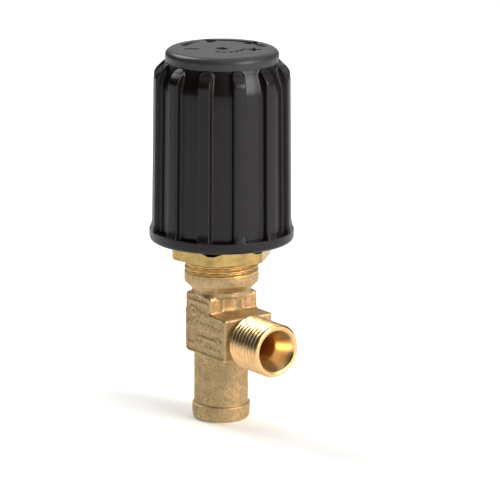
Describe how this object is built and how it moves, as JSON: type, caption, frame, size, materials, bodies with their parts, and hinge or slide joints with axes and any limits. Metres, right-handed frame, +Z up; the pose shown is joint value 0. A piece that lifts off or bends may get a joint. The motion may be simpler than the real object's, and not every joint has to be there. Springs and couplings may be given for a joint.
{
  "type": "needle valve",
  "caption": "Angle needle valve: brass body with a hose tail below and a threaded coned side port, hexagon bonnet nut and a tall fluted black hand knob that screws the needle off its seat.",
  "frame": {"origin": "centre of the hose tail's end face, on the spindle axis", "axes": "+Z up the spindle axis towards the knob, +X out of the threaded side port"},
  "size_m": [0.0489, 0.0426, 0.1118],
  "materials": {
    "forged_brass": "hot forged, blasted matt brass with machined port, collar and bores",
    "turned_brass": "turned brass",
    "polished_brass": "bright drawn hexagon brass",
    "stainless": "ground stainless steel",
    "zinc_steel": "zinc plated steel",
    "black_rubber": "matt nitrile rubber",
    "ptfe": "white PTFE",
    "knob_plastic": "black moulded nylon, satin with a fine grain"
  },
  "bodies": {
    "root": {"valve_body": "forged_brass", "seat_gasket": "ptfe", "seat_ring": "stainless", "packing_carrier": "turned_brass", "carrier_o_ring": "black_rubber", "lower_backup_ring": "ptfe", "packing_o_ring": "black_rubber", "upper_backup_ring": "ptfe", "gland_bush": "turned_brass", "bonnet": "turned_brass", "stem_wiper": "black_rubber", "bonnet_nut": "polished_brass"},
    "needle": {"needle": "stainless", "thrust_ball": "stainless"},
    "spindle": {"stem": "stainless", "swivel_clip": "stainless", "knob_hub": "turned_brass", "knob_shell": "knob_plastic", "knob_cap": "knob_plastic", "flat_washer": "zinc_steel", "spring_washer": "zinc_steel", "knob_screw": "zinc_steel"}
  },
  "joints": [
    {"name": "needle_lift", "type": "slide", "parent": "root", "child": "needle", "axis": [0, 0, 1], "range_m": [0, 0.0045]},
    {"name": "knob_turn", "type": "hinge", "parent": "needle", "child": "spindle", "pos_m": [0, 0, 0.08], "axis": [0, 0, 1], "range_deg": [0, 1620]}
  ],
  "couplings": [
    {"joint": "knob_turn", "follows": "needle_lift", "rad_per_m": 6283.2}
  ]
}
